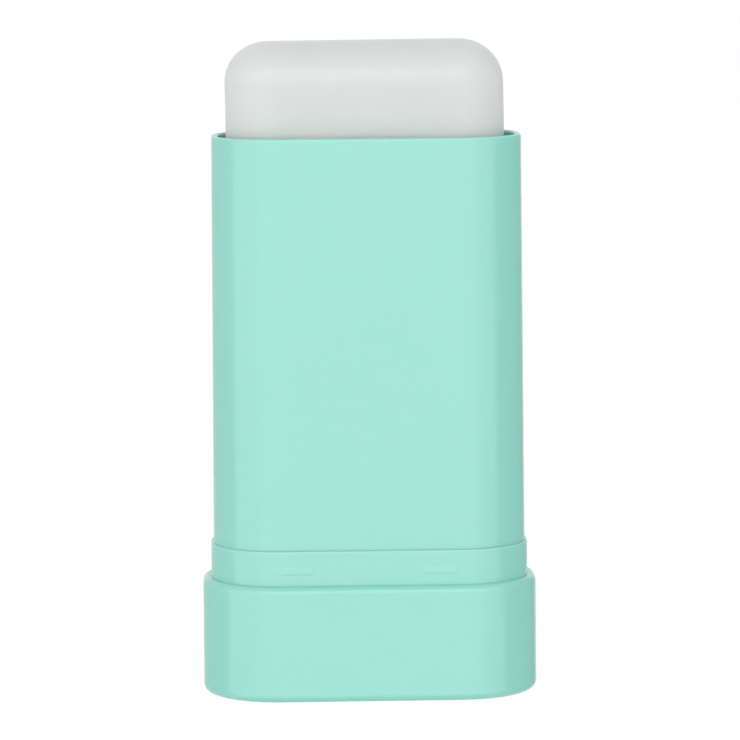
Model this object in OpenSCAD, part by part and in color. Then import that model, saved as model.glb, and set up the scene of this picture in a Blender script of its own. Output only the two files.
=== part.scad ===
// Oval twist-up stick for hair wax, about 60 mm wide and 118 mm high as shown.
// Z is up, the front faces -Y and the origin is on the table under the middle.
// Every oval here is the same small rectangle swept out by a radius, so all
// walls stay parallel and a wall is simply a difference of two radii.

/* [Outline] */
// Width of the base from side to side
base_w = 60; // [54:0.5:70]
// Depth of the base from front to back
base_d = 32; // [31:0.5:38]
// Corner radius of the base seen from above
corner_r = 14; // [13:0.5:15]

/* [Base] */
// Height of the wide skirt, whose top edge is the ledge for the cap
skirt_h = 20.9; // [19.5:0.1:26]
// How much narrower each side of the skirt is at the ledge than at the table
skirt_draft = 0.14; // [0:0.01:0.4]
// Wall of the skirt at the table
skirt_wall = 1.8; // [1.4:0.1:2.2]
// Rounding of the skirt's top edge
skirt_round = 1.25; // [0.4:0.05:1.4]
// Rounding of the skirt's bottom edge
foot_round = 1.3; // [0.3:0.1:1.6]
// Step from the skirt's face in to the band's face, one wall of the cap
band_inset = 1.42; // [1:0.02:2]
// Height of the band that the cap slides over
band_h = 6.25; // [5:0.05:9]
// Wall of the band around the barrel's neck
band_wall = 1.3; // [1:0.1:1.6]
// Rounding of the band's top edge
band_round = 0.3; // [0.1:0.05:0.45]
// Height of the deck's underside above the table
deck_z = 14.9; // [12:0.1:15.5]
// Thickness of the deck
deck_t = 1.6; // [1.2:0.1:2.2]

/* [Cap beads] */
// Length of each bead
bead_w = 5.7; // [3:0.1:8]
// Height of each bead
bead_h = 1.6; // [1:0.1:2]
// How far a bead stands out of the band
bead_proud = 0.2; // [0.1:0.05:0.6]
// Distance between the two beads of a side
bead_pitch = 25.6; // [12:0.1:26]
// Height of the beads' middle above the ledge
bead_rise = 3.1; // [2.2:0.1:3.6]

/* [Barrel] */
// Height of the barrel above the band
barrel_h = 73.4; // [60:0.1:95]
// Step from the band's face in to the barrel's face
barrel_inset = 0.47; // [0.3:0.01:0.8]
// How much narrower each side is at the rim than at the band
barrel_draft = 0.37; // [0.05:0.01:0.6]
// Wall of the barrel
barrel_wall = 1.15; // [0.9:0.05:1.6]
// Rounding of the rim's edges
lip_round = 0.42; // [0.1:0.02:0.44]
// Thickness of the chamber floor
floor_t = 1.6; // [1.2:0.1:2.4]
// Height of the chamber floor's top above the band
floor_rise = 0.85; // [0.3:0.05:1.5]
// Wall of the neck that plugs into the base
neck_wall = 1.2; // [0.9:0.05:1.6]
// How far the snap rib stands out of the neck
rib_proud = 0.3; // [0.15:0.05:0.5]
// Height of the snap rib
rib_h = 1.2; // [0.8:0.1:2]
// Rounding of the snap rib's edges
rib_round = 0.3; // [0.1:0.05:0.4]

/* [Lead screw] */
// Outer diameter of the screw's thread
screw_d = 7; // [6:0.1:7.6]
// Distance from the screw's tip to the rim
tip_drop = 5; // [4:0.1:8]
// Height of the screw's tapered tip
tip_h = 1; // [0.5:0.1:2]
// Diameter of the journal that turns in the chamber floor
journal_d = 9.2; // [8.6:0.1:10]
// Diameter of the sealing flange above the floor
flange_d = 13; // [11.5:0.1:15]
// Thickness of the sealing flange
flange_t = 1.2; // [0.8:0.1:1.6]
// Width across the square end that drives the screw
drive_w = 5; // [4:0.1:5.6]

/* [Hand wheel] */
// Gap from the table to the wheel
wheel_lift = 1.2; // [0.6:0.1:3]
// Gap from the wheel's ribs to the skirt's wall
wheel_gap = 0.6; // [0.5:0.1:2]
// Wall of the wheel's rim
wheel_wall = 1.4; // [1:0.1:2]
// Thickness of the wheel's bottom
wheel_t = 1.8; // [1.4:0.1:2.4]
// Diameter of the wheel's hub
wheel_hub_d = 13; // [12:0.1:15]
// Number of finger ribs around the wheel
grip_n = 30; // [16:1:36]
// Radius of one finger rib
grip_r = 0.7; // [0.4:0.05:0.9]
// Height of the raised turning arrows
arrow_h = 0.3; // [0.2:0.05:0.5]
// Radius of the ring that the arrows follow
arrow_r = 8; // [6:0.5:9]
// Width of an arrow's stroke
arrow_w = 1.2; // [0.8:0.1:1.6]
// Width and length of an arrow's head
arrow_head = 3.6; // [2.4:0.1:4]

/* [Elevator] */
// Gap from the elevator to the barrel at the rim
lift_gap = 0.3; // [0.2:0.02:0.5]
// Thickness of the elevator's plate
plate_t = 1.6; // [1.2:0.1:2.4]
// Height of the guide wall below the plate
guide_h = 4; // [3.4:0.1:6]
// Thickness of the guide wall
guide_wall = 1; // [0.8:0.1:1.6]
// Outer diameter of the threaded hub
hub_d = 11; // [10:0.1:13]
// Height of the hub below the plate
hub_down = 2.4; // [1:0.1:2.6]
// Height of the hub above the plate
hub_up = 4; // [3:0.1:6]
// Height of the fins that hold the wax
fin_h = 8; // [5:0.1:12]
// Thickness of a fin
fin_t = 1.2; // [0.8:0.1:1.8]
// Length of a fin from front to back
fin_l = 12; // [8:0.1:14]
// Distance from the middle to the nearer fins
fin_x = 10; // [8.5:0.1:12]
// Distance between neighbouring fins
fin_pitch = 7; // [4:0.1:7.5]
// Diameter of the hole through a fin, which the wax fills
fin_hole_d = 3; // [2:0.1:4]

/* [Wax] */
// Height of the wax above the rim
wax_out = 17; // [2:0.1:30]
// Depth of the wax below the rim when it is wound right down
wax_sunk = 1.5; // [0.5:0.1:2]
// Gap from the wax to the barrel's wall at the rim
wax_gap = 1.8; // [1:0.05:2.4]
// Rounding of the wax's top edge
wax_round = 7.6; // [4:0.1:8]

/* [Fits] */
// Clearance around a part that turns or slides on the screw's axis
run_gap = 0.06; // [0.03:0.01:0.1]
// End play of the screw and the wheel
end_gap = 0.1; // [0.06:0.01:0.2]
// Clearance of parts that are pushed together and stay
seat_gap = 0.04; // [0.02:0.01:0.08]
// Clearance of the journal in the deck and of the screw in the wax
free_gap = 0.6; // [0.4:0.05:1]
// Height left under the elevator when it is wound right down
park_gap = 0.5; // [0.3:0.1:1]

/* [Hidden] */
$fn = 96;
mint = "#a3e4d7";
natural = "#eef1ec";
milky = "#dcdfdc";

// Centres of the four corners, which every oval shares
core_x = base_w/2 - corner_r;
core_y = base_d/2 - corner_r;
// Cutters reach this far past a face
past = 1;
// A rounding takes up at most this share of its wall
edge_share = 0.75;

// Radii of the ovals, from the outside in
ledge_r = corner_r - skirt_draft;
band_r = corner_r - band_inset;
socket_r = band_r - band_wall;
neck_r = socket_r - seat_gap;
foot_r = band_r - barrel_inset;
rim_r = foot_r - barrel_draft;
chamber_r = rim_r - barrel_wall;
wax_r = chamber_r - wax_gap;
lift_r = chamber_r - lift_gap;
ledge_round = min(skirt_round, ledge_r - band_r);
foot_edge = min(foot_round, edge_share*skirt_wall);

// Heights above the table
band_top = skirt_h + band_h;
socket_z = deck_z + deck_t;
rib_z = (socket_z + skirt_h)/2 + rib_h;
chamber_z = band_top + floor_rise;
rim_z = band_top + barrel_h;
flange_z = chamber_z + end_gap;
tip_z = rim_z - tip_drop;
wheel_top = deck_z - end_gap;
wheel_r = base_d/2 - skirt_wall - wheel_gap;
drum_r = wheel_r - grip_r;
socket_floor = wheel_lift + wheel_t;

// The elevator is raised by as much as the wax stands out
raised = wax_out + wax_sunk;
guide_z = chamber_z + park_gap + raised;
plate_z = guide_z + guide_h;
plate_top = plate_z + plate_t;
wax_top = rim_z + wax_out;
wax_bore_top = tip_z + raised + free_gap;

// Sweeps a half section around the shared rectangle. The section starts on its
// axis at height 0 and is h high there.
module oval(h) {
    for (turn = [0, 180]) rotate(turn) {
        translate([core_x, core_y, 0]) rotate_extrude(angle = 90) children();
        translate([core_x, -core_y, 0]) rotate(-90) rotate_extrude(angle = 90) children();
        translate([core_x, core_y, 0]) rotate([90, 0, 0])
            linear_extrude(2*core_y) children();
    }
    translate([-core_x, 0, 0]) rotate([90, 0, 90]) linear_extrude(2*core_x) {
        translate([core_y, 0]) children();
        mirror([1, 0]) translate([core_y, 0]) children();
        translate([-core_y, 0]) square([2*core_y, h]);
    }
}

// Half section of a plain slab with its top and bottom edges rounded
module slab(r, h, top = 0, foot = 0) {
    difference() {
        square([r, h]);
        if (top > 0) edge_cut(r, h, top, 1);
        if (foot > 0) edge_cut(r, 0, foot, -1);
    }
}

// What a rounding of radius e takes off a corner at (r, y), above or below it
module edge_cut(r, y, e, up) {
    translate([r - e, y - up*e]) difference() {
        translate([0, up > 0 ? 0 : -e - past]) square(e + past);
        circle(e);
    }
}

module oval_slab(r, z0, z1, top = 0, foot = 0) {
    translate([0, 0, z0]) oval(z1 - z0) slab(r, z1 - z0, top, foot);
}

// Base: skirt, band and deck in one moulding, open underneath for the fingers
module base_shell() {
    color(mint) difference() {
        union() {
            oval(skirt_h) skirt_section();
            oval_slab(band_r, deck_z, band_top, band_round);
            for (side = [0, 180]) rotate(side) cap_beads();
        }
        oval_slab(corner_r - skirt_wall, -past, deck_z);
        oval_slab(socket_r, socket_z, band_top + past);
        oval_slab(socket_r + rib_proud, rib_z - seat_gap, rib_z + rib_h + seat_gap);
        translate([0, 0, deck_z - past])
            cylinder(d = journal_d + 2*free_gap, h = deck_t + 2*past);
    }
}

// Outer half section of the skirt, drafted and rounded above and below
module skirt_section() {
    difference() {
        polygon([[0, 0], [corner_r, 0], [ledge_r, skirt_h], [0, skirt_h]]);
        edge_cut(ledge_r, skirt_h, ledge_round, 1);
        edge_cut(corner_r, 0, foot_edge, -1);
    }
}

// Two low beads with round ends that hold the cap, on the face toward -Y
module cap_beads() {
    bead_r = (sq(bead_h/2) + sq(bead_proud))/(2*bead_proud);
    depth = bead_r - bead_proud;
    for (x = [-bead_pitch/2, bead_pitch/2])
        translate([x, -core_y - band_r + depth, skirt_h + bead_rise])
            intersection() {
                rotate([0, 90, 0]) cylinder(r = bead_r, h = bead_w, center = true);
                rotate([90, 0, 0]) cylinder(r = bead_w/2, h = 2*bead_r);
            }
}

function sq(v) = v*v;

// Barrel: drafted oval tube with its floor and the neck that snaps into the base
module barrel() {
    color(mint) difference() {
        union() {
            translate([0, 0, band_top]) oval(barrel_h) barrel_section();
            oval_slab(neck_r, socket_z, band_top + past);
            oval_slab(neck_r + rib_proud - seat_gap, rib_z, rib_z + rib_h, rib_round, rib_round);
        }
        translate([0, 0, chamber_z]) oval(rim_z - chamber_z + past) chamber_section();
        oval_slab(neck_r - neck_wall, socket_z - past, chamber_z - floor_t);
        translate([0, 0, chamber_z - floor_t - past])
            cylinder(d = journal_d + 2*run_gap, h = floor_t + 2*past);
    }
}

// Outer half section of the barrel, drafted and rounded at the rim
module barrel_section() {
    difference() {
        polygon([[0, 0], [foot_r, 0], [rim_r, barrel_h], [0, barrel_h]]);
        edge_cut(rim_r, barrel_h, lip_round, 1);
    }
}

// Half section of the hollow inside, with the same draft and a rounded mouth
module chamber_section() {
    h = rim_z - chamber_z;
    low_r = chamber_r + barrel_draft*h/barrel_h;
    polygon([[0, 0], [low_r, 0], [chamber_r, h], [chamber_r, h + past], [0, h + past]]);
    translate([chamber_r, h - lip_round]) difference() {
        square([lip_round, lip_round + past]);
        translate([lip_round, 0]) circle(lip_round);
    }
}

// Hand wheel: ribbed drum, closed below, pushed onto the screw's square end
module hand_wheel() {
    wheel_h = wheel_top - wheel_lift;
    color(mint) {
        translate([0, 0, wheel_lift]) difference() {
            union() {
                cylinder(r = drum_r, h = wheel_h);
                for (i = [0:grip_n - 1]) rotate(i*360/grip_n)
                    translate([drum_r, 0, 0]) cylinder(r = grip_r, h = wheel_h, $fn = 24);
            }
            translate([0, 0, wheel_t]) difference() {
                cylinder(r = drum_r - wheel_wall, h = wheel_h);
                cylinder(d = wheel_hub_d, h = wheel_h);
            }
            translate([-drive_w/2 - seat_gap, -drive_w/2 - seat_gap, wheel_t])
                cube([drive_w + 2*seat_gap, drive_w + 2*seat_gap, wheel_h]);
        }
        for (turn = [0, 180]) rotate(turn)
            translate([0, 0, wheel_lift - arrow_h]) linear_extrude(arrow_h) turn_arrow();
    }
}

// One curved arrow, a third of a ring with a head, for the wheel's underside
module turn_arrow() {
    reach = 2*drum_r;
    intersection() {
        difference() {
            circle(arrow_r + arrow_w/2);
            circle(arrow_r - arrow_w/2);
        }
        polygon([[0, 0], [reach, 0], [reach, reach], [-reach/2, reach]]);
    }
    translate([arrow_r, arrow_w/2])
        polygon([[-arrow_head/2, 0], [arrow_head/2, 0], [0, -arrow_head]]);
}

// Lead screw: square drive, journal, sealing flange and the threaded stem
module lead_screw() {
    color(natural) {
        translate([-drive_w/2, -drive_w/2, socket_floor + seat_gap])
            cube([drive_w, drive_w, wheel_top - socket_floor]);
        translate([0, 0, wheel_top + seat_gap])
            cylinder(d = journal_d, h = flange_z - wheel_top - seat_gap);
        translate([0, 0, flange_z]) cylinder(d = flange_d, h = flange_t);
        translate([0, 0, flange_z]) cylinder(d = screw_d, h = tip_z - tip_h - flange_z);
        translate([0, 0, tip_z - tip_h])
            cylinder(d1 = screw_d, d2 = screw_d - 2*tip_h, h = tip_h);
    }
}

// Elevator: plate with a guide wall, the nut in its middle and fins for the wax
module elevator() {
    color(natural) difference() {
        union() {
            difference() {
                oval_slab(lift_r, guide_z, plate_top);
                oval_slab(lift_r - guide_wall, guide_z - past, plate_z);
            }
            lift_hub();
            lift_fins();
        }
        translate([0, 0, plate_z - hub_down - past])
            cylinder(d = screw_d + 2*run_gap, h = hub_down + plate_t + hub_up + 2*past);
    }
}

module lift_hub() {
    translate([0, 0, plate_z - hub_down]) cylinder(d = hub_d, h = hub_down + plate_t + hub_up);
}

// Two upright fins on each side of the hub, each with a hole that the wax fills
module lift_fins() {
    for (side = [-1, 1], i = [0, 1])
        translate([side*(fin_x + i*fin_pitch), 0, plate_z]) difference() {
            translate([-fin_t/2, -fin_l/2, 0]) cube([fin_t, fin_l, plate_t + fin_h]);
            translate([-fin_t, 0, plate_t + fin_h/2]) rotate([0, 90, 0])
                cylinder(d = fin_hole_d, h = 2*fin_t);
        }
}

// Wax: one cast block around the hub and fins, with a blind bore for the screw
module wax_block() {
    color(milky) difference() {
        oval_slab(wax_r, plate_top, wax_top, wax_round);
        lift_hub();
        lift_fins();
        translate([0, 0, plate_top - past])
            cylinder(d = screw_d + 2*free_gap, h = wax_bore_top - plate_top + past);
    }
}

base_shell();
barrel();
hand_wheel();
lead_screw();
elevator();
wax_block();
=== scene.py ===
"""Looks of an oval twist-up stick of hair wax: mint shells, milky wax and a screw inside."""
import math

import bpy
import numpy as np
from bpy.props import FloatProperty, FloatVectorProperty, IntProperty, PointerProperty
from mathutils import Matrix, Vector


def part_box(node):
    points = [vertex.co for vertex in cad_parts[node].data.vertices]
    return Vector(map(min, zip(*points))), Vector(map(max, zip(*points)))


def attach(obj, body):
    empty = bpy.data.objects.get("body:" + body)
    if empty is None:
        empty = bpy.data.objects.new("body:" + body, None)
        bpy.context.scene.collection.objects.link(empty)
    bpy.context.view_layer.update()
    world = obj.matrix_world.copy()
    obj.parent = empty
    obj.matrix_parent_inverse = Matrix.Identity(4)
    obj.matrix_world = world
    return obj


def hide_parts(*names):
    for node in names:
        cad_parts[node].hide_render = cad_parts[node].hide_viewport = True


bl_info = {
    "name": "Twist-up wax stick",
    "version": (1, 0, 0),
    "blender": (4, 5, 0),
    "location": "3D View > Sidebar > Wax Stick",
    "description": "Builds the surfaces, finishes and studio of an oval twist-up wax stick",
    "category": "Object",
}

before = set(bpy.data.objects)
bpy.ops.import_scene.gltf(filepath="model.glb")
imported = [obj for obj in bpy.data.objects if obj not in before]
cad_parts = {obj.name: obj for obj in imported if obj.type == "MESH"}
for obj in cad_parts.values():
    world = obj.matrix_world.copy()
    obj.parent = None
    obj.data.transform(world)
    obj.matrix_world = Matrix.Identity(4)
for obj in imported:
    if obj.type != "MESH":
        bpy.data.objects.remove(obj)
MM = 0.001
BASE_LOW, BASE_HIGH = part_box("base_shell")
BARREL_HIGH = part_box("barrel")[1]
WAX_LOW, WAX_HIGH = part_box("wax_block")
SCREW_LOW, SCREW_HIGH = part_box("lead_screw")
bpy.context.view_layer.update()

# Edges that turn by more than this many degrees are shaded sharp
SHARP = 32.0

# Waves in the wax: wave numbers along X, Y and Z in radians per metre, and a phase
WAX_WAVES = ((210, 0, 95, 0.6), (95, 120, -260, 2.1))

# The middle of a noise texture's values, which a mask spreads over 0 to 1
NOISE_LOW, NOISE_HIGH = 0.3, 0.7

# Softboxes face a point in the stick's middle from this far
SOFTBOX_REACH = 1.3
SOFTBOX_AIM = Vector((0, 0, 0.06))

# Each softbox: the setting of its radiance, then the bearings to the right of the front and
# the rises above the horizon that it spans, in degrees
SOFTBOXES = {
    "left": ("left", (-84, -35), (-41, 20)),
    "front": ("front", (-35, 35), (-41, 20)),
    "right": ("right", (35, 68), (-41, 20)),
    "brow": ("brow", (-35, 35), (21, 45)),
    "left_lamp": ("lamps", (-64, -50), (25, 38)),
    "right_lamp": ("lamps", (42, 56), (25, 38)),
}

# The room's side walls: bearing and half width in degrees, and the width of their soft edge
LEFT_WALL = (-124, 44)
RIGHT_WALL = (112, 48)
WALL_EDGE = 10

# The floor: half its side, and how far it lies below the stick's foot
FLOOR_HALF = 30.0
FLOOR_DROP = 0.02 * MM


def length(name, default_mm, description):
    """A size property in metres, with its default given in millimetres."""
    return FloatProperty(name=name, description=description, default=default_mm * MM,
                         precision=5, subtype="DISTANCE", unit="LENGTH")


def colour(name, default, description):
    """A linear colour property."""
    return FloatVectorProperty(name=name, description=description, default=default,
                               size=3, min=0.0, max=1.0, subtype="COLOR")


def factor(name, default, description):
    """A property from 0 to 1."""
    return FloatProperty(name=name, description=description, default=default,
                         min=0.0, max=1.0, subtype="FACTOR")


def angle(name, default, description):
    """An angle property in radians."""
    return FloatProperty(name=name, description=description, default=default,
                         subtype="ANGLE", unit="ROTATION")


def brightness(name, default, description):
    """A property for the radiance of a light."""
    return FloatProperty(name=name, description=description, default=default,
                         min=0.0, max=40.0)


class ShellSizes(bpy.types.PropertyGroup):
    """Sizes of the moulded base and barrel that their boxes don't tell."""
    corner: length("Corner radius", 14.0, "Corner radius of the base seen from above")
    skirt_height: length("Skirt height", 20.9, "Height of the ledge that the cap lands on")
    skirt_swell: length("Skirt swell", 0.14, "How far the skirt stands out of the plain solid")
    skirt_draft: length("Skirt draft", 0.04, "How much narrower each side is at the ledge")
    skirt_wall: length("Skirt wall", 1.8, "Wall of the skirt at the table")
    skirt_round: length("Skirt rounding", 1.25, "Rounding of the skirt's top edge")
    foot_round: length("Foot rounding", 1.5, "Rounding of the skirt's bottom edge")
    band_inset: length("Band inset", 1.42, "Step from the skirt's face in to the band")
    band_wall: length("Band wall", 1.3, "Wall of the band around the neck")
    band_round: length("Band rounding", 0.3, "Rounding of the band's top edge")
    deck: length("Deck height", 14.9, "Height of the deck's underside")
    deck_thick: length("Deck thickness", 1.6, "Thickness of the deck")
    deck_hole: length("Deck hole", 5.2, "Radius of the hole in the deck")
    draft: length("Draft", 0.37, "How much narrower each side of the barrel is at the rim")
    wall: length("Barrel wall", 1.15, "Wall of the barrel")
    lip: length("Lip rounding", 0.42, "Rounding of the rim's edges")
    floor_height: length("Chamber floor", 28.0, "Height of the chamber floor's top")
    floor_thick: length("Floor thickness", 1.6, "Thickness of the chamber floor")
    floor_hole: length("Floor hole", 4.66, "Radius of the hole for the journal")
    neck_wall: length("Neck wall", 1.2, "Wall of the neck that plugs into the base")
    neck_gap: length("Neck clearance", 0.04, "Clearance of the neck in its socket")
    rib: length("Snap rib", 0.3, "How deep the groove of the snap rib is")
    rib_height: length("Snap rib height", 1.2, "Height of the snap rib")
    bead_width: length("Bead length", 5.7, "Length of a bead that holds the cap")
    bead_height: length("Bead height", 1.6, "Height of a bead")
    bead_proud: length("Bead depth", 0.14, "How far a bead stands out of the band")
    bead_edge: length("Bead edge", 0.4, "Length of the slope at each end of a bead")
    bead_pitch: length("Bead pitch", 25.6, "Distance between the two beads of a side")
    bead_rise: length("Bead rise", 2.8, "Height of the beads' middle above the ledge")
    bead_shift: length("Bead shift", -0.45, "How far the beads sit off the middle")


class WaxSizes(bpy.types.PropertyGroup):
    """Sizes of the cast wax block."""
    round: length("Top rounding", 7.45, "Rounding of the top edge")
    bore: length("Bore radius", 4.1, "Radius of the blind bore around the screw")
    bore_top: length("Bore top", 114.65, "Height of the bore's closed end")
    swell: length("Swell", 0.12, "How far the cast sides stand out of the plain block")
    shift: length("Shift", -0.22, "How far the cast block sits off the middle")
    lean: length("Lean", -0.18, "How far the exposed end leans to the side")
    sink: length("Sink", 0.28, "How far the top has shrunk down in cooling")
    tilt: angle("Tilt", math.radians(0.34), "How far the top slopes up to the right")
    ripple: length("Ripple", 0.05, "Depth of the slow hand-poured waves")


class ScrewSizes(bpy.types.PropertyGroup):
    """Sizes of the lead screw."""
    drive: length("Drive width", 5.0, "Width across the square end")
    journal: length("Journal radius", 4.6, "Radius of the turning journal")
    flange: length("Flange radius", 6.5, "Radius of the sealing flange")
    flange_low: length("Flange underside", 28.1, "Height of the flange's underside")
    flange_thick: length("Flange thickness", 1.2, "Thickness of the flange")
    journal_low: length("Journal foot", 14.84, "Height of the journal's lower end")
    crest: length("Crest radius", 3.5, "Outer radius of the thread")
    root: length("Root radius", 2.6, "Radius between the threads")
    lead: length("Lead", 4.0, "How far the elevator moves for one turn")
    starts: IntProperty(name="Starts", description="Number of parallel threads",
                        default=1, min=1, max=4)


class Finishes(bpy.types.PropertyGroup):
    """Colours and gloss of the materials."""
    mint: colour("Mint", (0.280, 0.652, 0.564), "Colour of the base, barrel and wheel")
    mint_rough: factor("Mint roughness", 0.235, "Roughness of the satin mouldings")
    natural: colour("Natural", (0.80, 0.82, 0.78), "Colour of the screw and elevator")
    wax: colour("Wax", (0.650, 0.676, 0.667), "Colour of the wax")
    wax_rough: factor("Wax roughness", 0.35, "Roughness of the wax")


class Studio(bpy.types.PropertyGroup):
    """Camera and lights."""
    distance: length("Camera distance", 800.0, "Distance from the camera to the stick")
    height: length("Camera height", 151.977, "Height of the camera above the table")
    aside: length("Camera offset", 0.43, "Sideways place of the camera")
    pitch: angle("Pitch", 0.1171, "How far the camera looks down")
    turn: angle("Turn", 0.0347, "How far the stick is turned to the camera")
    roll: angle("Roll", 0.0078, "How far the camera is rolled")
    lens: FloatProperty(name="Lens", description="Focal length on a 36 mm sensor",
                        default=217.1, min=20.0, max=400.0)
    front: brightness("Front", 1.58, "Radiance of the softbox in front")
    left: brightness("Left", 1.33, "Radiance of the softbox on the left")
    right: brightness("Right", 0.92, "Radiance of the softbox on the right")
    brow: brightness("Brow", 2.6, "Radiance of the softbox above the front one, which gives "
                     "sheen alone")
    lamps: brightness("Lamps", 2.2, "Radiance of the two small raised lamps")
    ambient: brightness("Ambient", 0.745, "Brightness of the white room as light")
    left_wall: factor("Left wall", 0.68, "How bright the room's left wall is when mirrored")
    right_wall: factor("Right wall", 0.36, "How bright the room's right wall is when mirrored")


# Surfaces

def oval_columns(core_x, core_y, long_n, short_n, arc_n):
    """Columns around the oval, anticlockwise from the right end: for each, the point of the
    core rectangle it starts from and the unit normal along which a radius is laid off."""
    def straight(x0, y0, x1, y1, angle, n):
        t = np.arange(n)[:, None] / n
        core = np.array([x0, y0]) * (1 - t) + np.array([x1, y1]) * t
        return core, np.tile([math.cos(angle), math.sin(angle)], (n, 1))

    def arc(x, y, angle):
        t = angle + np.arange(arc_n) / arc_n * math.pi / 2
        return np.tile([x, y], (arc_n, 1)), np.c_[np.cos(t), np.sin(t)]

    a, b = core_x, core_y
    quarter = math.pi / 2
    runs = [straight(a, -b, a, b, 0, short_n), arc(a, b, 0),
            straight(a, b, -a, b, quarter, long_n), arc(-a, b, quarter),
            straight(-a, b, -a, -b, 2 * quarter, short_n), arc(-a, -b, 2 * quarter),
            straight(-a, -b, a, -b, 3 * quarter, long_n), arc(a, -b, 3 * quarter)]
    return np.vstack([r[0] for r in runs]), np.vstack([r[1] for r in runs])


def bend(r, z, radius, start, end, steps=7):
    """Points of a rounding: a circle about (r, z) from one angle in degrees to another."""
    t = np.radians(np.linspace(start, end, steps))
    return np.c_[r + radius * np.cos(t), z + radius * np.sin(t)]


def hold_edges(points, near=0.12 * MM, longest=4.0 * MM):
    """Adds points beside each corner of a profile and along its long runs, so that smooth
    shading stays flat between roundings. Rows are (radius, height, shape)."""
    rows = []
    for p, q in zip(points[:-1], points[1:]):
        size = float(np.hypot(*(q - p)[:2]))
        steps = [0.0]
        if size > 4 * near:
            inner = max(1, math.ceil(size / longest))
            along = [i / inner for i in range(1, inner)]
            steps = [0.0, near / size, *along, 1 - near / size]
        rows += [p + (q - p) * t for t in steps]
    return np.array(rows + [points[-1]])


def sweep(core, normal, profile):
    """Grid of points, one row for each profile point and one column for each column of the
    oval. Shape 0 lays the radius off along the oval's normals. Shape 1 is a circle of that
    radius about the Z axis, with its points at the bearings of the widest oval. Between,
    they are mixed."""
    r, z, shape = (profile[:, i][:, None] for i in range(3))
    widest = core + r.max() * normal
    bearing = np.arctan2(widest[:, 1], widest[:, 0])
    x = (1 - shape) * (core[:, 0] + r * normal[:, 0]) + shape * r * np.cos(bearing)
    y = (1 - shape) * (core[:, 1] + r * normal[:, 1]) + shape * r * np.sin(bearing)
    return np.stack([x, y, z + 0 * x], axis=-1)


def grid_object(name, grid, closed, body):
    """Mesh of a grid whose columns wrap around. A closed grid wraps its rows too. An open
    one ends in a point at each end, the mean of its first and last row."""
    rows, cols = grid.shape[:2]
    points = grid.reshape(-1, 3)
    i = np.arange(rows if closed else rows - 1)[:, None]
    j = np.arange(cols)[None, :]
    up, right = (i + 1) % rows, (j + 1) % cols
    quads = np.stack([i * cols + j, i * cols + right,
                      up * cols + right, up * cols + j], -1)
    loops = quads.reshape(-1)
    counts = np.full(quads.shape[0] * quads.shape[1], 4)
    if not closed:
        points = np.vstack([points, grid[0].mean(0), grid[-1].mean(0)])
        j = np.arange(cols)
        right = (j + 1) % cols
        low = np.stack([np.full(cols, rows * cols), right, j], -1)
        top = np.stack([np.full(cols, rows * cols + 1), (rows - 1) * cols + j,
                        (rows - 1) * cols + right], -1)
        loops = np.concatenate([loops, low.reshape(-1), top.reshape(-1)])
        counts = np.concatenate([counts, np.full(2 * cols, 3)])
    mesh = bpy.data.meshes.new(name)
    mesh.vertices.add(len(points))
    mesh.vertices.foreach_set("co", points.astype(np.float32).reshape(-1))
    mesh.loops.add(len(loops))
    mesh.loops.foreach_set("vertex_index", loops.astype(np.int32))
    mesh.polygons.add(len(counts))
    starts = np.concatenate([[0], np.cumsum(counts)[:-1]])
    mesh.polygons.foreach_set("loop_start", starts.astype(np.int32))
    mesh.update(calc_edges=True)
    mesh.validate()
    mesh.shade_smooth()
    mesh.set_sharp_from_angle(angle=math.radians(SHARP))
    piece = bpy.data.objects.new(name, mesh)
    bpy.context.scene.collection.objects.link(piece)
    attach(piece, body)
    return piece


def lid(row, steps=10):
    """Rows that shrink a row of points to its middle, all at the row's own height."""
    middle = row.mean(0)
    share = np.linspace(1, 0, steps, endpoint=False)[1:, None, None]
    return middle + (row - middle) * share


def smooth(t):
    """0 below 0, 1 above 1 and a smooth step between."""
    t = np.clip(t, 0, 1)
    return t * t * (3 - 2 * t)


def rows_of(*parts):
    """Stacks (radius, height) points and adds shape 0, or shape 1 to parts given in a tuple
    with the word round."""
    rows = []
    for part in parts:
        is_round = isinstance(part, tuple) and part[-1] == "round"
        points = np.atleast_2d(part[0] if is_round else part)
        rows.append(np.c_[points, np.full(len(points), float(is_round))])
    return np.vstack(rows)


def core_of(shell):
    """Half sides of the rectangle that every oval of the stick shares."""
    half = (BASE_HIGH - BASE_LOW) / 2
    return half.x - shell.corner, half.y - shell.corner


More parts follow.
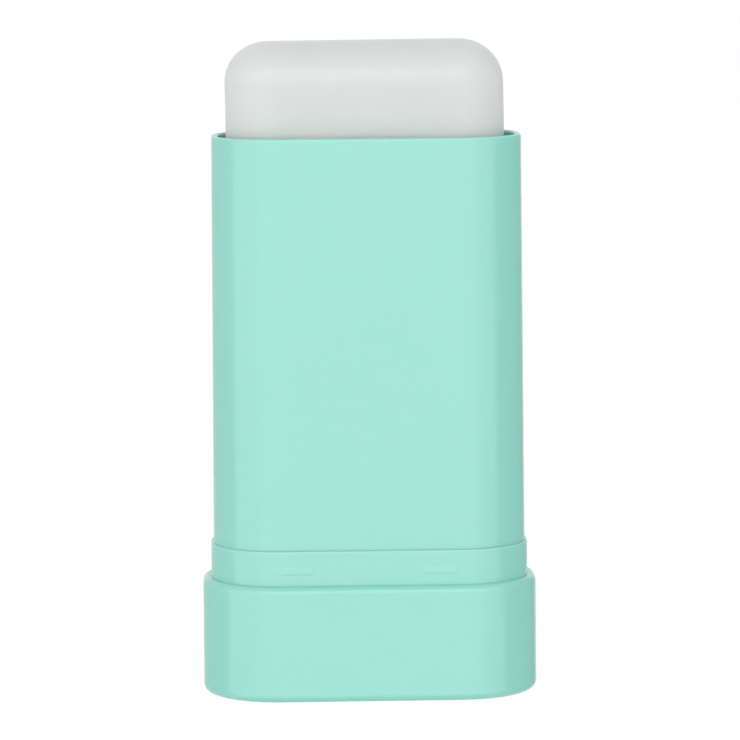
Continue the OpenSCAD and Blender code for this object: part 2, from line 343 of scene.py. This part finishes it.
class STICK_OT_base(bpy.types.Operator):
    """Builds the base: skirt, band with its beads, deck and socket in one closed surface"""
    bl_idname = "stick.base"
    bl_label = "Base"

    def execute(self, context):
        s = context.scene.stick_shell
        core_x, core_y = core_of(s)
        core, normal = oval_columns(core_x, core_y, long_n=160, short_n=6, arc_n=28)
        band = s.corner - s.band_inset
        socket = band - s.band_wall
        inside = s.corner - s.skirt_wall
        top, ledge = BASE_HIGH.z, s.skirt_height
        deck_top = s.deck + s.deck_thick
        rib = (deck_top + ledge) / 2 + s.rib_height
        foot = s.corner + s.skirt_swell
        shoulder = foot - s.skirt_draft - s.skirt_round
        middle = ledge + s.bead_rise
        rows, reach = 25, 0.75 * s.bead_height
        across = middle + np.linspace(-reach, reach, rows)
        outline = rows_of(
            bend(foot - s.foot_round, s.foot_round, s.foot_round, -90, 0),
            bend(shoulder, ledge - s.skirt_round, s.skirt_round, 0, 90, 10),
            [band, ledge],
            np.c_[np.full(len(across), band), across],
            bend(band - s.band_round, top - s.band_round, s.band_round, 0, 90, 5),
            [socket, top],
            [socket, rib + s.rib_height + s.neck_gap],
            [socket + s.rib, rib + s.rib_height + s.neck_gap],
            [socket + s.rib, rib - s.neck_gap],
            [socket, rib - s.neck_gap],
            [socket, deck_top],
            ([s.deck_hole, deck_top], "round"),
            ([s.deck_hole, s.deck], "round"),
            [inside, s.deck],
            [inside, 0],
        )
        profile = hold_edges(np.vstack([outline, outline[:1]]))[:-1]
        grid = sweep(core, normal, profile)
        grid[..., 1] += self.beads(s, grid, profile, normal, band, middle)
        piece = grid_object("base_moulding", grid, True, "case")
        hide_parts("base_shell")
        piece.data.materials.append(mint_plastic(context.scene.stick_finish))
        return {"FINISHED"}

    @staticmethod
    def beads(s, grid, profile, normal, band, middle):
        """How far each point moves along Y: a low pillow over each bead, the product of a
        smooth step along X and the height of a half ellipse along Z."""
        side = np.abs(np.abs(grid[..., 0] - s.bead_shift) - s.bead_pitch / 2)
        along = smooth((s.bead_width / 2 - side) / s.bead_edge + 0.5)
        up = np.clip(np.abs(grid[..., 2] - middle) / (s.bead_height / 2), 0, 1)
        facing_y = np.abs(normal[:, 1]) > 0.999
        on_band = np.isclose(profile[:, 0], band)[:, None] & facing_y[None, :]
        return np.sign(normal[:, 1]) * on_band * along * np.sqrt(1 - up ** 2) * s.bead_proud


class STICK_OT_barrel(bpy.types.Operator):
    """Builds the barrel: drafted tube, rounded lip, chamber floor and neck in one surface"""
    bl_idname = "stick.barrel"
    bl_label = "Barrel"

    def execute(self, context):
        s = context.scene.stick_shell
        core_x, core_y = core_of(s)
        core, normal = oval_columns(core_x, core_y, long_n=48, short_n=6, arc_n=32)
        rim, shoulder = BARREL_HIGH.z, BASE_HIGH.z
        foot = BARREL_HIGH.x - core_x
        top = foot - s.draft
        inner = top - s.wall
        low_inner = inner + s.draft * (rim - s.floor_height) / (rim - shoulder)
        socket = s.corner - s.band_inset - s.band_wall
        neck = socket - s.neck_gap
        ledge = s.deck + s.deck_thick
        rib = (ledge + s.skirt_height) / 2 + s.rib_height
        outline = rows_of(
            [foot, shoulder],
            bend(top - s.lip, rim - s.lip, s.lip, 0, 90, 8),
            bend(inner + s.lip, rim - s.lip, s.lip, 90, 180, 8),
            [low_inner, s.floor_height],
            ([s.floor_hole, s.floor_height], "round"),
            ([s.floor_hole, s.floor_height - s.floor_thick], "round"),
            [neck - s.neck_wall, s.floor_height - s.floor_thick],
            [neck - s.neck_wall, ledge],
            [neck, ledge],
            [neck, rib],
            [neck + s.rib - s.neck_gap, rib + s.rib_height / 4],
            [neck + s.rib - s.neck_gap, rib + s.rib_height * 3 / 4],
            [neck, rib + s.rib_height],
            [neck, shoulder],
        )
        profile = hold_edges(np.vstack([outline, outline[:1]]))[:-1]
        piece = grid_object("barrel_moulding", sweep(core, normal, profile), True, "case")
        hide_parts("barrel")
        piece.data.materials.append(mint_plastic(context.scene.stick_finish))
        return {"FINISHED"}


class STICK_OT_wheel(bpy.types.Operator):
    """Finishes the hand wheel and the elevator, whose solids already have their full shape"""
    bl_idname = "stick.wheel"
    bl_label = "Wheel and elevator"

    def execute(self, context):
        finish = context.scene.stick_finish
        dress("hand_wheel", mint_plastic(finish))
        dress("elevator", natural_plastic(finish))
        return {"FINISHED"}


class STICK_OT_screw(bpy.types.Operator):
    """Builds the lead screw with its square end, journal, flange and left-hand thread"""
    bl_idname = "stick.screw"
    bl_label = "Lead screw"

    def execute(self, context):
        """The radius is a function of the bearing and the height: a square's edge below, then
        plain steps, then a rounded ridge that rises by one lead for a turn to the left."""
        s = context.scene.stick_screw
        low, tip = SCREW_LOW.z, SCREW_HIGH.z
        columns, rows_a_turn = 48, 16
        # The ridge's edge and flank are shares of half a lead, its run-out a share of a lead
        ridge_edge, flank, run_out = 0.72, 0.4, 0.4
        flange_top = s.flange_low + s.flange_thick
        bearing = np.linspace(0, 2 * math.pi, columns, endpoint=False)[None, :]
        stem = np.arange(flange_top, tip - s.lead / 2, s.lead / rows_a_turn)
        plain = [(low, 0), (s.journal_low, 0), (s.journal_low, 1), (s.flange_low, 1),
                 (s.flange_low, 2), (flange_top, 2)]
        heights = np.array([p[0] for p in plain] + list(stem)
                           + [tip - (s.crest - s.root), tip])
        kind = np.array([p[1] for p in plain] + [3] * len(stem) + [4, 5])[:, None]
        height = heights[:, None]
        square = s.drive / 2 / np.maximum(np.abs(np.cos(bearing)), np.abs(np.sin(bearing)))
        turn = (height + s.lead * bearing / (2 * math.pi)) * s.starts / s.lead
        away = np.abs(turn - np.round(turn)) * 2
        fade = (smooth((height - flange_top) / s.lead)
                * smooth((tip - height) / s.lead - run_out))
        ridge = s.root + (s.crest - s.root) * smooth((ridge_edge - away) / flank) * fade
        radius = np.select(
            [kind == 0, kind == 1, kind == 2, kind == 3, kind == 4],
            [square, s.journal, s.flange, ridge, s.root], s.root / 2) + 0 * bearing
        grid = np.stack([radius * np.cos(bearing), radius * np.sin(bearing),
                         height + 0 * bearing], -1)
        piece = grid_object("lead_screw_thread", grid, False, "drive")
        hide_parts("lead_screw")
        piece.data.materials.append(natural_plastic(context.scene.stick_finish))
        return {"FINISHED"}


class STICK_OT_wax(bpy.types.Operator):
    """Builds the cast wax block with its rounded top, slow ripples and blind bore"""
    bl_idname = "stick.wax"
    bl_label = "Wax"

    def execute(self, context):
        """An oval profile with a quarter circle at the top edge. The end that stands free
        leans, slopes and has sunk a little, more so the higher, and slow sine waves run over
        its sides."""
        s = context.scene.stick_wax
        core_x, core_y = core_of(context.scene.stick_shell)
        core, normal = oval_columns(core_x, core_y, long_n=96, short_n=8, arc_n=32)
        side = WAX_HIGH.x - core_x + s.swell
        low, top = WAX_LOW.z, WAX_HIGH.z
        outline = rows_of(
            ([s.bore / 8, s.bore_top], "round"),
            ([s.bore, s.bore_top], "round"),
            ([s.bore, low], "round"),
            [side, low],
            bend(side - s.round, top - s.round, s.round, 0, 90, 24),
            [0, top],
        )
        grid = sweep(core, normal, hold_edges(outline, longest=1.5 * MM))
        grid = np.concatenate([grid, lid(grid[-1])])
        x, y, z = (grid[..., i].copy() for i in range(3))
        free = smooth((z - BARREL_HIGH.z) / (top - BARREL_HIGH.z))
        wave = sum(np.sin(x * along_x + z * along_z + y * along_y + phase)
                   for along_x, along_y, along_z, phase in WAX_WAVES) / len(WAX_WAVES)
        grid[..., 0] = x + s.shift + s.lean * free
        grid[..., 1] = y * (1 + s.ripple / WAX_HIGH.y * wave * free)
        grid[..., 2] = z + (math.tan(s.tilt) * x - s.sink) * free
        piece = grid_object("wax_cast", grid, False, "lift")
        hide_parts("wax_block")
        piece.data.materials.append(cast_wax(context.scene.stick_finish))
        return {"FINISHED"}


# Materials

def group_of(name, inputs, outputs):
    """A new shader node group with its sockets, and its input and output nodes."""
    group = bpy.data.node_groups.new(name, "ShaderNodeTree")
    for socket, kind, value in inputs:
        made = group.interface.new_socket(name=socket, in_out="INPUT", socket_type=kind)
        if value is not None:
            made.default_value = value
    for socket, kind in outputs:
        group.interface.new_socket(name=socket, in_out="OUTPUT", socket_type=kind)
    return group, group.nodes.new("NodeGroupInput"), group.nodes.new("NodeGroupOutput")


def feed(node, **values):
    """Sets a node's inputs. An underscore in a name stands for a space."""
    for name, value in values.items():
        node.inputs[name.replace("_", " ")].default_value = value


def math_node(tree, operation, first, second, third=None):
    """A Math node fed by sockets or numbers. Returns its result."""
    node = tree.nodes.new("ShaderNodeMath")
    node.operation = operation
    for i, value in enumerate((first, second, third)):
        if value is None:
            continue
        if isinstance(value, (int, float)):
            node.inputs[i].default_value = value
        else:
            tree.links.new(value, node.inputs[i])
    return node.outputs[0]


def noise_node(tree, vector, scale, detail=2.0, roughness=0.5):
    """A Noise Texture on the given coordinates. Returns its value."""
    node = tree.nodes.new("ShaderNodeTexNoise")
    feed(node, Detail=detail, Roughness=roughness)
    tree.links.new(vector, node.inputs["Vector"])
    if isinstance(scale, (int, float)):
        node.inputs["Scale"].default_value = scale
    else:
        tree.links.new(scale, node.inputs["Scale"])
    return node.outputs["Fac"]


def moulded_skin():
    """Group for injection-moulded plastic: long flow lines up the wall, a faint grain from
    the tool and slow clouds of colour. Puts out a height, a cloud and a wear mask."""
    if "Moulded skin" in bpy.data.node_groups:
        return bpy.data.node_groups["Moulded skin"]
    group, source, result = group_of(
        "Moulded skin",
        [("Vector", "NodeSocketVector", None), ("Grain size", "NodeSocketFloat", 2200.0),
         ("Grain", "NodeSocketFloat", 0.25), ("Flow", "NodeSocketFloat", 0.5)],
        [("Height", "NodeSocketFloat"), ("Cloud", "NodeSocketFloat"),
         ("Scuff", "NodeSocketFloat")])
    vector = source.outputs["Vector"]
    stretch = group.nodes.new("ShaderNodeMapping")
    feed(stretch, Scale=(1.0, 1.0, 0.06))
    group.links.new(vector, stretch.inputs["Vector"])
    flow = noise_node(group, stretch.outputs["Vector"], scale=260.0, detail=3.0)
    grain = noise_node(group, vector, source.outputs["Grain size"], detail=1.0)
    cloud = noise_node(group, vector, scale=45.0, detail=2.0, roughness=0.45)
    scuff = noise_node(group, vector, scale=700.0, detail=4.0, roughness=0.65)
    flow = math_node(group, "MULTIPLY", flow, source.outputs["Flow"])
    height = math_node(group, "MULTIPLY_ADD", grain, source.outputs["Grain"], flow)
    ceiling, softness = 0.6, 0.2
    scuff = math_node(group, "SMOOTH_MIN", scuff, ceiling, softness)
    group.links.new(height, result.inputs["Height"])
    group.links.new(cloud, result.inputs["Cloud"])
    group.links.new(scuff, result.inputs["Scuff"])
    return group


def new_material(name):
    """A material with an empty tree, its shader and Object coordinates."""
    material = bpy.data.materials.new(name)
    material.use_nodes = True
    tree = material.node_tree
    tree.nodes.clear()
    shader = tree.nodes.new("ShaderNodeBsdfPrincipled")
    output = tree.nodes.new("ShaderNodeOutputMaterial")
    tree.links.new(shader.outputs["BSDF"], output.inputs["Surface"])
    place = tree.nodes.new("ShaderNodeTexCoord")
    return material, tree, shader, place.outputs["Object"]


def ramp(tree, value, start, end, low, high):
    """A number that runs from low to high while the value runs from start to end."""
    node = tree.nodes.new("ShaderNodeMapRange")
    feed(node, From_Min=start, From_Max=end, To_Min=low, To_Max=high)
    tree.links.new(value, node.inputs["Value"])
    return node.outputs["Result"]


def between(tree, noise, low, high):
    """A number that runs from low to high over the middle of a noise's values."""
    return ramp(tree, noise, NOISE_LOW, NOISE_HIGH, low, high)


def shade_mix(tree, mask, first, second):
    """A colour that runs from the first to the second with a mask."""
    node = tree.nodes.new("ShaderNodeMix")
    node.data_type = "RGBA"
    node.inputs["A"].default_value = (*first, 1)
    node.inputs["B"].default_value = (*second, 1)
    tree.links.new(mask, node.inputs["Factor"])
    return node.outputs["Result"]


def tinted(base, amount):
    """The colour made lighter or darker by a share."""
    return tuple(min(1.0, c * (1 + amount)) for c in base)


def bump(tree, shader, height, strength, distance):
    """A Bump node from a height to the shader's normal."""
    node = tree.nodes.new("ShaderNodeBump")
    feed(node, Strength=strength, Distance=distance)
    tree.links.new(height, node.inputs["Height"])
    tree.links.new(node.outputs["Normal"], shader.inputs["Normal"])


def plastic(name, base, rough, grain, flow, swing):
    """A moulded plastic: base colour with slow clouds, satin roughness and a faint skin."""
    if name in bpy.data.materials:
        return bpy.data.materials[name]
    material, tree, shader, place = new_material(name)
    skin = tree.nodes.new("ShaderNodeGroup")
    skin.node_tree = moulded_skin()
    feed(skin, Grain=grain, Flow=flow)
    tree.links.new(place, skin.inputs["Vector"])
    tree.links.new(shade_mix(tree, between(tree, skin.outputs["Cloud"], 0, 1),
                             tinted(base, -swing), tinted(base, swing)),
                   shader.inputs["Base Color"])
    spread = 0.03
    tree.links.new(between(tree, skin.outputs["Scuff"], rough - spread, rough + spread),
                   shader.inputs["Roughness"])
    bump(tree, shader, skin.outputs["Height"], strength=0.25, distance=0.02 * MM)
    feed(shader, IOR=1.49, Specular_IOR_Level=0.65, Subsurface_Weight=0.6,
         Subsurface_Radius=(0.9, 1.0, 0.95), Subsurface_Scale=1.2 * MM)
    return material


def mint_plastic(finish):
    """Satin mint polypropylene of the base, barrel and wheel."""
    return plastic("Mint plastic", finish.mint, finish.mint_rough,
                   grain=0.2, flow=0.5, swing=0.005)


def natural_plastic(finish):
    """Undyed milky polypropylene of the screw and the elevator."""
    return plastic("Natural plastic", finish.natural, rough=0.42,
                   grain=0.3, flow=0.6, swing=0.02)


def cast_wax(finish):
    """Milky wax: light scatters under the surface, the colour clouds slowly, and the skin
    has soft low waves with a duller bloom in places."""
    material, tree, shader, place = new_material("Cast wax")
    swing, polish, bloom, fine_share = 0.012, 0.05, 0.06, 0.12
    cloud = noise_node(tree, place, scale=60.0, detail=3.0)
    fine = noise_node(tree, place, scale=420.0, detail=3.0, roughness=0.55)
    tree.links.new(shade_mix(tree, between(tree, cloud, 0, 1),
                             tinted(finish.wax, -swing), tinted(finish.wax, swing)),
                   shader.inputs["Base Color"])
    tree.links.new(between(tree, fine, finish.wax_rough - polish, finish.wax_rough + bloom),
                   shader.inputs["Roughness"])
    height = math_node(tree, "MULTIPLY_ADD", fine, fine_share, cloud)
    bump(tree, shader, height, strength=0.3, distance=0.12 * MM)
    feed(shader, Subsurface_Weight=1.0, Subsurface_Radius=(1.0, 0.75, 0.85),
         Subsurface_Scale=5.0 * MM, IOR=1.44)
    return material


def dress(node, material):
    """Gives a node of the frame its material."""
    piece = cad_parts[node]
    piece.data.materials.clear()
    piece.data.materials.append(material)


# Studio

def softbox(name, bearings, rises, radiance):
    """An upright softbox that faces the stick and spans a pair of bearings and of rises."""
    start, end, low, high = (math.radians(v) for v in (*bearings, *rises))
    bearing = (start + end) / 2
    outward = Vector((math.sin(bearing), -math.cos(bearing), 0))
    foot, top = SOFTBOX_REACH * math.tan(low), SOFTBOX_REACH * math.tan(high)
    lamp = bpy.data.lights.new(name, "AREA")
    lamp.shape = "RECTANGLE"
    lamp.size = 2 * SOFTBOX_REACH * math.tan((end - start) / 2)
    lamp.size_y = top - foot
    lamp.energy = radiance * math.pi * lamp.size * lamp.size_y
    made = bpy.data.objects.new(name, lamp)
    facing = outward.to_track_quat("Z", "Y").to_matrix().to_4x4()
    place = SOFTBOX_AIM + SOFTBOX_REACH * outward + Vector((0, 0, (foot + top) / 2))
    made.matrix_world = Matrix.Translation(place) @ facing
    bpy.context.scene.collection.objects.link(made)
    return made


def glowing(shader, grey, rough, glow):
    """Gives a shader a grey, a roughness and a white glow."""
    feed(shader, Base_Color=(grey, grey, grey, 1), Roughness=rough,
         Emission_Color=(1, 1, 1, 1), Emission_Strength=glow)


def shader_mix(tree, mask, first, second):
    """A shader that is the first one where a mask is 0 and the second where it is 1."""
    node = tree.nodes.new("ShaderNodeMixShader")
    tree.links.new(mask, node.inputs["Fac"])
    tree.links.new(first, node.inputs[1])
    tree.links.new(second, node.inputs[2])
    return node.outputs["Shader"]


def seen_directly(tree, path):
    """1 for rays that see the thing directly or through glass, else 0."""
    return math_node(tree, "MAXIMUM", path.outputs["Is Camera Ray"],
                     path.outputs["Is Transmission Ray"])


def patch(tree, bearing, half, change):
    """A round patch on the room's wall with a soft edge: a change within half degrees of a
    bearing, from the cosine between that direction and the one looked in."""
    bearing = math.radians(bearing)
    direction = tree.nodes.new("ShaderNodeTexCoord")
    cosine = tree.nodes.new("ShaderNodeVectorMath")
    cosine.operation = "DOT_PRODUCT"
    cosine.inputs[1].default_value = (math.sin(bearing), -math.cos(bearing), 0)
    tree.links.new(direction.outputs["Generated"], cosine.inputs[0])
    edge, inside = (math.cos(math.radians(a)) for a in (half, half - WALL_EDGE))
    return ramp(tree, cosine.outputs["Value"], edge, inside, 0, change)


class STICK_OT_studio(bpy.types.Operator):
    """Sets the floor, the white room, the softboxes and the camera"""
    bl_idname = "stick.studio"
    bl_label = "Studio"

    def execute(self, context):
        """Three softboxes make one wall of light in front. They reach below the floor, which
        mirrored rays pass, so that the sheen on a wall runs down to its foot."""
        s = context.scene.stick_studio
        self.floor()
        self.room(s)
        made = {name: softbox(name, bearings, rises, getattr(s, setting))
                for name, (setting, bearings, rises) in SOFTBOXES.items()}
        made["brow"].visible_diffuse = False
        self.camera(context.scene, s)
        return {"FINISHED"}

    @staticmethod
    def floor():
        """A pale floor that shows white with the stick's soft shadow, and nothing from below.
        Mirrored rays pass it and see the room."""
        corners = [(x * FLOOR_HALF, y * FLOOR_HALF, -FLOOR_DROP)
                   for x, y in ((-1, -1), (1, -1), (1, 1), (-1, 1))]
        mesh = bpy.data.meshes.new("floor")
        mesh.from_pydata(corners, [], [(0, 1, 2, 3)])
        made = bpy.data.objects.new("floor", mesh)
        bpy.context.scene.collection.objects.link(made)
        made.visible_glossy = False
        material, tree, shader, _ = new_material("Pale floor")
        glowing(shader, grey=0.6, rough=0.9, glow=0.26)
        shown = tree.nodes.new("ShaderNodeBsdfPrincipled")
        glowing(shown, grey=0.12, rough=1.0, glow=0.93)
        feed(shown, Specular_IOR_Level=0.0)
        path = tree.nodes.new("ShaderNodeLightPath")
        above = shader_mix(tree, seen_directly(tree, path),
                           shader.outputs["BSDF"], shown.outputs["BSDF"])
        side = tree.nodes.new("ShaderNodeNewGeometry")
        clear = tree.nodes.new("ShaderNodeBsdfTransparent")
        both = shader_mix(tree, side.outputs["Backfacing"], above, clear.outputs["BSDF"])
        output = next(n for n in tree.nodes if n.type == "OUTPUT_MATERIAL")
        tree.links.new(both, output.inputs["Surface"])
        mesh.materials.append(material)

    @staticmethod
    def room(s):
        """A white room: full white where it is seen, dimmer as light. Mirrored, it is white
        too, except for the walls at its sides."""
        world = bpy.data.worlds.new("White room")
        bpy.context.scene.world = world
        world.use_nodes = True
        tree = world.node_tree
        background = next(n for n in tree.nodes if n.type == "BACKGROUND")
        background.inputs["Color"].default_value = (1, 1, 1, 1)
        path = tree.nodes.new("ShaderNodeLightPath")
        left = patch(tree, *LEFT_WALL, s.left_wall - 1)
        right = patch(tree, *RIGHT_WALL, s.right_wall - 1)
        walls = math_node(tree, "ADD", math_node(tree, "ADD", left, right), 1 - s.ambient)
        mirrored = math_node(tree, "MULTIPLY", walls, path.outputs["Is Glossy Ray"])
        seen = math_node(tree, "MULTIPLY_ADD", seen_directly(tree, path),
                         1 - s.ambient, s.ambient)
        tree.links.new(math_node(tree, "ADD", seen, mirrored), background.inputs["Strength"])

    @staticmethod
    def camera(scene, s):
        """A long lens a little above the stick, turned, pitched and rolled as set."""
        turn = Matrix.Rotation(-s.turn, 3, "Z")
        forward = turn @ Vector((0, math.cos(s.pitch), -math.sin(s.pitch)))
        upward = turn @ Vector((0, math.sin(s.pitch), math.cos(s.pitch)))
        right = turn @ Vector((1, 0, 0))
        across = right * math.cos(s.roll) - upward * math.sin(s.roll)
        up = right * math.sin(s.roll) + upward * math.cos(s.roll)
        axes = Matrix((across, up, -forward)).transposed().to_4x4()
        place = turn @ Vector((s.aside, -s.distance, s.height))
        data = bpy.data.cameras.new("camera")
        data.sensor_width = 36.0
        data.lens = s.lens
        data.clip_start, data.clip_end = 0.01, 20.0
        made = bpy.data.objects.new("camera", data)
        made.matrix_world = Matrix.Translation(place) @ axes
        scene.collection.objects.link(made)
        scene.camera = made
        scene.view_settings.view_transform = "Standard"


class STICK_PT_panel(bpy.types.Panel):
    """Lists the pieces and their settings"""
    bl_idname = "STICK_PT_panel"
    bl_label = "Wax Stick"
    bl_space_type = "VIEW_3D"
    bl_region_type = "UI"
    bl_category = "Wax Stick"

    def draw(self, context):
        for operator in OPERATORS:
            self.layout.operator(operator.bl_idname)
        for name, group in GROUPS.items():
            box = self.layout.box()
            for prop in group.__annotations__:
                box.prop(getattr(context.scene, name), prop)


GROUPS = {"stick_shell": ShellSizes, "stick_wax": WaxSizes, "stick_screw": ScrewSizes,
          "stick_finish": Finishes, "stick_studio": Studio}
OPERATORS = [STICK_OT_base, STICK_OT_barrel, STICK_OT_wheel, STICK_OT_screw, STICK_OT_wax,
             STICK_OT_studio]


def register():
    for cls in [*GROUPS.values(), *OPERATORS, STICK_PT_panel]:
        bpy.utils.register_class(cls)
    for name, group in GROUPS.items():
        setattr(bpy.types.Scene, name, PointerProperty(type=group))


def unregister():
    for name in GROUPS:
        delattr(bpy.types.Scene, name)
    for cls in reversed([*GROUPS.values(), *OPERATORS, STICK_PT_panel]):
        bpy.utils.unregister_class(cls)


def main():
    register()
    for operator in OPERATORS:
        family, name = operator.bl_idname.split(".")
        getattr(getattr(bpy.ops, family), name)()


if __name__ == "__main__":
    main()
